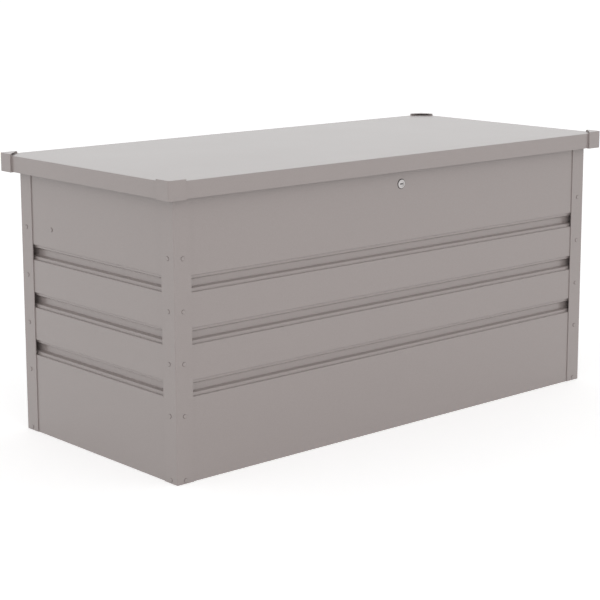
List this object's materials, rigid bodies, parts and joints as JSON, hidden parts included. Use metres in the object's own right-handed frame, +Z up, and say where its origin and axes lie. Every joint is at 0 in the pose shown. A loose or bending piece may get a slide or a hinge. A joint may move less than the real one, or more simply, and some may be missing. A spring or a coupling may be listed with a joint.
{
  "type": "deck storage box",
  "caption": "Sheet-steel deck storage box with grooved wall panels, corner posts, a rear-hinged lid on gas struts, capped lid corners and a front cam lock.",
  "frame": {"origin": "on the ground under the middle of the body, at the centre of the face that the runners and posts stand on", "axes": "+X to the right along the front, +Y from the front with the lock to the back with the hinges, +Z up"},
  "size_m": [1.3, 0.606, 0.616],
  "materials": {
    "powder_coat": "fine satin powder coat, warm taupe grey",
    "lid_coat": "fine satin powder coat, warm taupe grey",
    "cap_coat": "satin coat in the colour of the box",
    "coated_bolts": "cup-head bolts coated in the colour of the box",
    "zinc_steel": "bright zinc-plated steel",
    "floor_steel": "powder-coated sheet with pressed beads",
    "hinge_steel": "coated folded hinge steel",
    "lock_chrome": "satin nickel-plated zinc",
    "lock_steel": "zinc-plated steel",
    "bumper_rubber": "matte black rubber",
    "strut_paint": "satin black paint",
    "strut_rod": "ground hard-chrome rod",
    "strut_eye": "glass-filled black nylon"
  },
  "bodies": {
    "box_body": {"front_panel": "powder_coat", "back_panel": "powder_coat", "left_panel": "powder_coat", "right_panel": "powder_coat", "corner_post_front_left": "powder_coat", "corner_post_front_right": "powder_coat", "corner_post_back_left": "powder_coat", "corner_post_back_right": "powder_coat", "post_bolts": "coated_bolts", "post_nuts": "zinc_steel", "floor_tray": "floor_steel", "floor_runner_left": "floor_steel", "floor_runner_middle": "floor_steel", "floor_runner_right": "floor_steel", "rim_bumpers": "bumper_rubber", "hinge_body_leaf_1": "hinge_steel", "hinge_body_leaf_2": "hinge_steel", "hinge_body_leaf_3": "hinge_steel", "hinge_pins": "hinge_steel", "hinge_bolts": "coated_bolts", "hinge_nuts": "zinc_steel", "lock_housing": "lock_chrome", "lock_nut": "lock_steel", "strut_bolts": "coated_bolts", "strut_nuts": "zinc_steel", "strut_spacers": "zinc_steel"},
    "lid": {"lid_panel": "lid_coat", "lid_stiffener_left": "lid_coat", "lid_stiffener_middle": "lid_coat", "lid_stiffener_right": "lid_coat", "corner_cap_front_left": "cap_coat", "corner_cap_front_right": "cap_coat", "corner_cap_back_left": "cap_coat", "corner_cap_back_right": "cap_coat", "lock_strike": "lid_coat", "hinge_lid_leaf_1": "hinge_steel", "hinge_lid_leaf_2": "hinge_steel", "hinge_lid_leaf_3": "hinge_steel", "hinge_rivets": "zinc_steel", "strut_bracket_left": "lid_coat", "strut_bracket_right": "lid_coat"},
    "lock_barrel": {"lock_plug": "lock_chrome", "lock_cam": "lock_steel", "lock_cam_screw": "lock_steel"},
    "left_strut_cylinder": {"strut_tube_left": "strut_paint", "strut_lower_eye_left": "strut_eye"},
    "left_strut_piston": {"strut_rod_left": "strut_rod", "strut_upper_eye_left": "strut_eye", "strut_stud_left": "zinc_steel"},
    "right_strut_cylinder": {"strut_tube_right": "strut_paint", "strut_lower_eye_right": "strut_eye"},
    "right_strut_piston": {"strut_rod_right": "strut_rod", "strut_upper_eye_right": "strut_eye", "strut_stud_right": "zinc_steel"}
  },
  "joints": [
    {"name": "lid_hinge", "type": "hinge", "parent": "box_body", "child": "lid", "pos_m": [0, 0.2965, 0.572], "axis": [-1, 0, 0], "range_deg": [0, 75]},
    {"name": "lock_turn", "type": "hinge", "parent": "box_body", "child": "lock_barrel", "pos_m": [0, -0.272, 0.546], "axis": [0, 1, 0], "range_deg": [0, 90]},
    {"name": "left_strut_pivot", "type": "hinge", "parent": "box_body", "child": "left_strut_cylinder", "pos_m": [-0.59, 0.159, 0.461], "axis": [-1, 0, 0], "range_deg": [0, 69.42]},
    {"name": "left_strut_extend", "type": "slide", "parent": "left_strut_cylinder", "child": "left_strut_piston", "axis": [0, -0.8924, 0.4513], "range_m": [0, 0.2121]},
    {"name": "right_strut_pivot", "type": "hinge", "parent": "box_body", "child": "right_strut_cylinder", "pos_m": [0.59, 0.159, 0.461], "axis": [-1, 0, 0], "range_deg": [0, 69.42]},
    {"name": "right_strut_extend", "type": "slide", "parent": "right_strut_cylinder", "child": "right_strut_piston", "axis": [0, -0.8924, 0.4513], "range_m": [0, 0.2121]}
  ],
  "couplings": [
    {"joint": "left_strut_pivot", "follows": "lid_hinge", "ratio": 0.92489},
    {"joint": "left_strut_extend", "follows": "lid_hinge", "m_per_rad": 0.16184},
    {"joint": "right_strut_pivot", "follows": "lid_hinge", "ratio": 0.92489},
    {"joint": "right_strut_extend", "follows": "lid_hinge", "m_per_rad": 0.16184}
  ]
}
